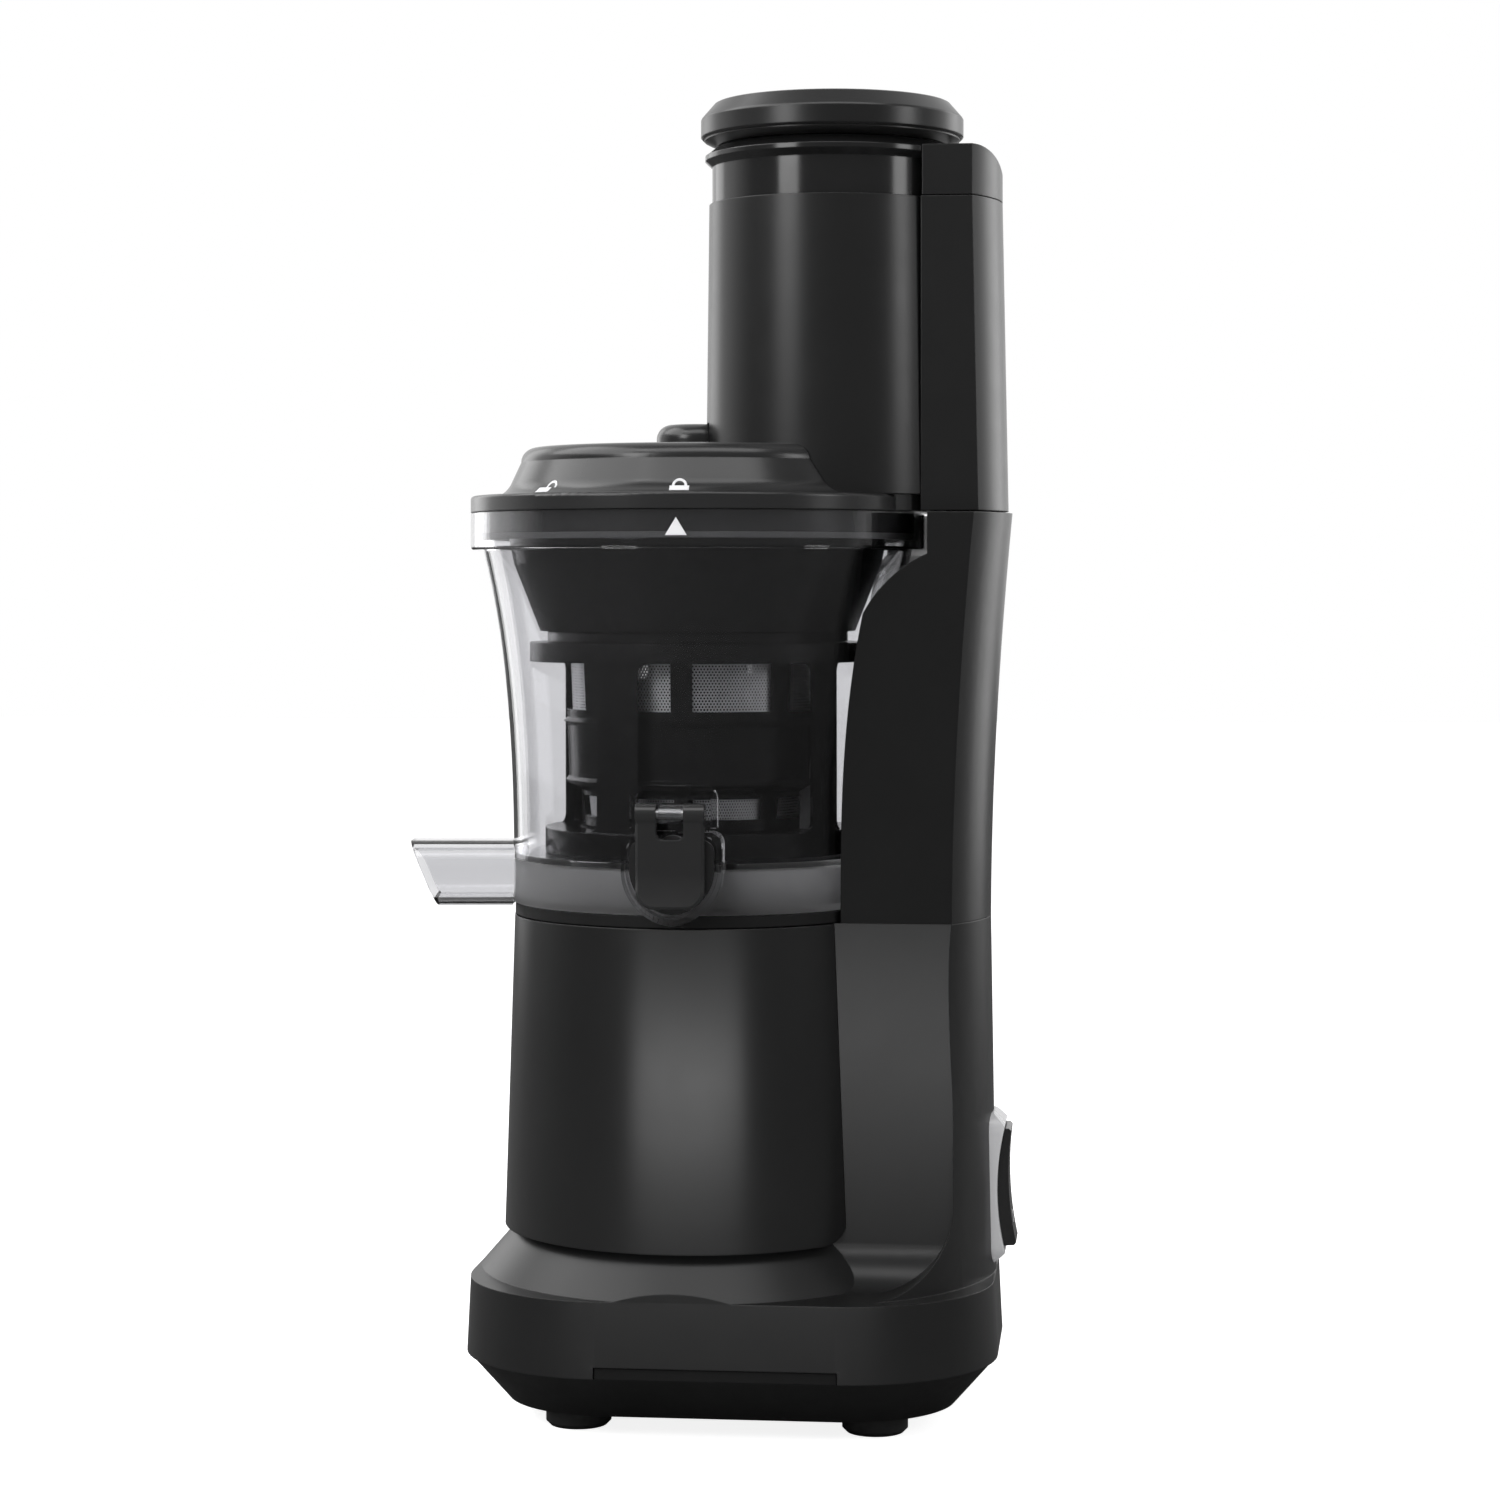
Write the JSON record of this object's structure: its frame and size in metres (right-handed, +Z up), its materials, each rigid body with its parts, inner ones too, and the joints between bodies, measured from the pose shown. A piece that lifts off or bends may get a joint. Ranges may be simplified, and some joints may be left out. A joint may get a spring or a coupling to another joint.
{
  "type": "vertical slow juicer",
  "caption": "Upright slow juicer with a wide feed chute, a clear bowl round an auger and strainer, a juice tap, a pulp spout and a motor base.",
  "frame": {"origin": "on the table under the middle of the whole object's box", "axes": "+Z up along the drive axis, +X towards the column and the switch, -Y towards the juice tap"},
  "size_m": [0.2052, 0.154, 0.4392],
  "materials": {
    "black_satin": "satin",
    "black_gloss": "gloss",
    "black_inner": "satin",
    "clear_bowl": "clear",
    "steel_mesh": "perforated",
    "steel": "turned",
    "rubber": "matte",
    "silicone": "matte",
    "motor_metal": "painted",
    "gearbox_metal": "cast",
    "board_green": "solder mask",
    "nylon": "matte",
    "bezel_silver": "silver"
  },
  "bodies": {
    "base": {"base_housing": "black_satin", "drum_cover": "black_satin", "column_cover": "black_satin", "lid_sensor": "nylon", "bottom_plate": "black_satin", "rubber_feet": "rubber", "motor_damper": "rubber", "motor_case": "motor_metal", "gearbox_case": "gearbox_metal", "gearbox_cover": "gearbox_metal", "shaft_bearings": "steel", "shaft_seal": "rubber", "bowl_seat": "black_satin", "board_standoffs": "nylon", "control_board": "board_green", "cord_gland": "rubber", "switch_bezel": "bezel_silver", "switch_body": "black_satin"},
    "drive": {"drive_shaft": "steel"},
    "rocker": {"power_rocker": "black_gloss"},
    "bowl": {"bowl": "clear_bowl", "pulp_tray": "clear_bowl", "bowl_seal": "silicone", "idler_pins": "steel", "strainer_basket": "black_inner", "strainer_mesh": "steel_mesh", "tap_pin": "steel"},
    "tap": {"tap_lever": "black_gloss", "tap_seal": "silicone"},
    "auger": {"auger": "black_inner"},
    "idler_1": {"idler_gear_1": "black_inner"},
    "idler_2": {"idler_gear_2": "black_inner"},
    "cage": {"brush_cage": "black_inner", "wiper_blades": "silicone"},
    "gasket": {"lid_gasket": "silicone"},
    "lid": {"lid": "black_gloss", "auger_bush": "black_inner", "hopper_cone": "black_gloss", "feed_chute": "black_gloss", "chute_sleeve": "black_satin", "spine_cover": "black_satin", "spine_cap": "black_gloss", "lid_magnet": "steel"},
    "pusher": {"pusher_cap": "black_gloss", "pusher_barrel": "black_gloss", "pusher_seal": "silicone"}
  },
  "joints": [
    {"name": "bowl_lift", "type": "slide", "parent": "base", "child": "bowl", "axis": [0, 0, 1], "range_m": [0, 0.15]},
    {"name": "auger_spin", "type": "hinge", "parent": "bowl", "child": "auger", "pos_m": [-0.00558, 0, 0], "axis": [0, 0, 1], "continuous": true},
    {"name": "drive_spin", "type": "hinge", "parent": "base", "child": "drive", "pos_m": [-0.00558, 0, 0], "axis": [0, 0, 1], "continuous": true},
    {"name": "idler_1_spin", "type": "hinge", "parent": "bowl", "child": "idler_1", "pos_m": [-0.00558, 0.0255, 0], "axis": [0, 0, 1], "continuous": true},
    {"name": "idler_2_spin", "type": "hinge", "parent": "bowl", "child": "idler_2", "pos_m": [-0.00558, -0.0255, 0], "axis": [0, 0, 1], "continuous": true},
    {"name": "cage_spin", "type": "hinge", "parent": "bowl", "child": "cage", "pos_m": [-0.00558, 0, 0], "axis": [0, 0, 1], "continuous": true},
    {"name": "tap_flip", "type": "hinge", "parent": "bowl", "child": "tap", "pos_m": [-0.00558, -0.0725, 0.2034], "axis": [-1, 0, 0], "range_deg": [0, 100]},
    {"name": "rocker_tip", "type": "hinge", "parent": "base", "child": "rocker", "pos_m": [0.09042, 0, 0.075], "axis": [0, 1, 0], "range_deg": [-2.5, 7.5]},
    {"name": "lid_lift", "type": "slide", "parent": "bowl", "child": "gasket", "axis": [0, 0, 1], "range_m": [0, 0.12]},
    {"name": "lid_turn", "type": "hinge", "parent": "gasket", "child": "lid", "pos_m": [-0.00558, 0, 0], "axis": [0, 0, 1], "range_deg": [0, 45]},
    {"name": "pusher_slide", "type": "slide", "parent": "lid", "child": "pusher", "axis": [0, 0, 1], "range_m": [0, 0.13]}
  ],
  "couplings": [
    {"joint": "drive_spin", "follows": "auger_spin", "ratio": 1},
    {"joint": "idler_1_spin", "follows": "auger_spin", "ratio": -1.4286},
    {"joint": "idler_2_spin", "follows": "auger_spin", "ratio": -1.4286},
    {"joint": "cage_spin", "follows": "auger_spin", "ratio": -0.41667}
  ]
}
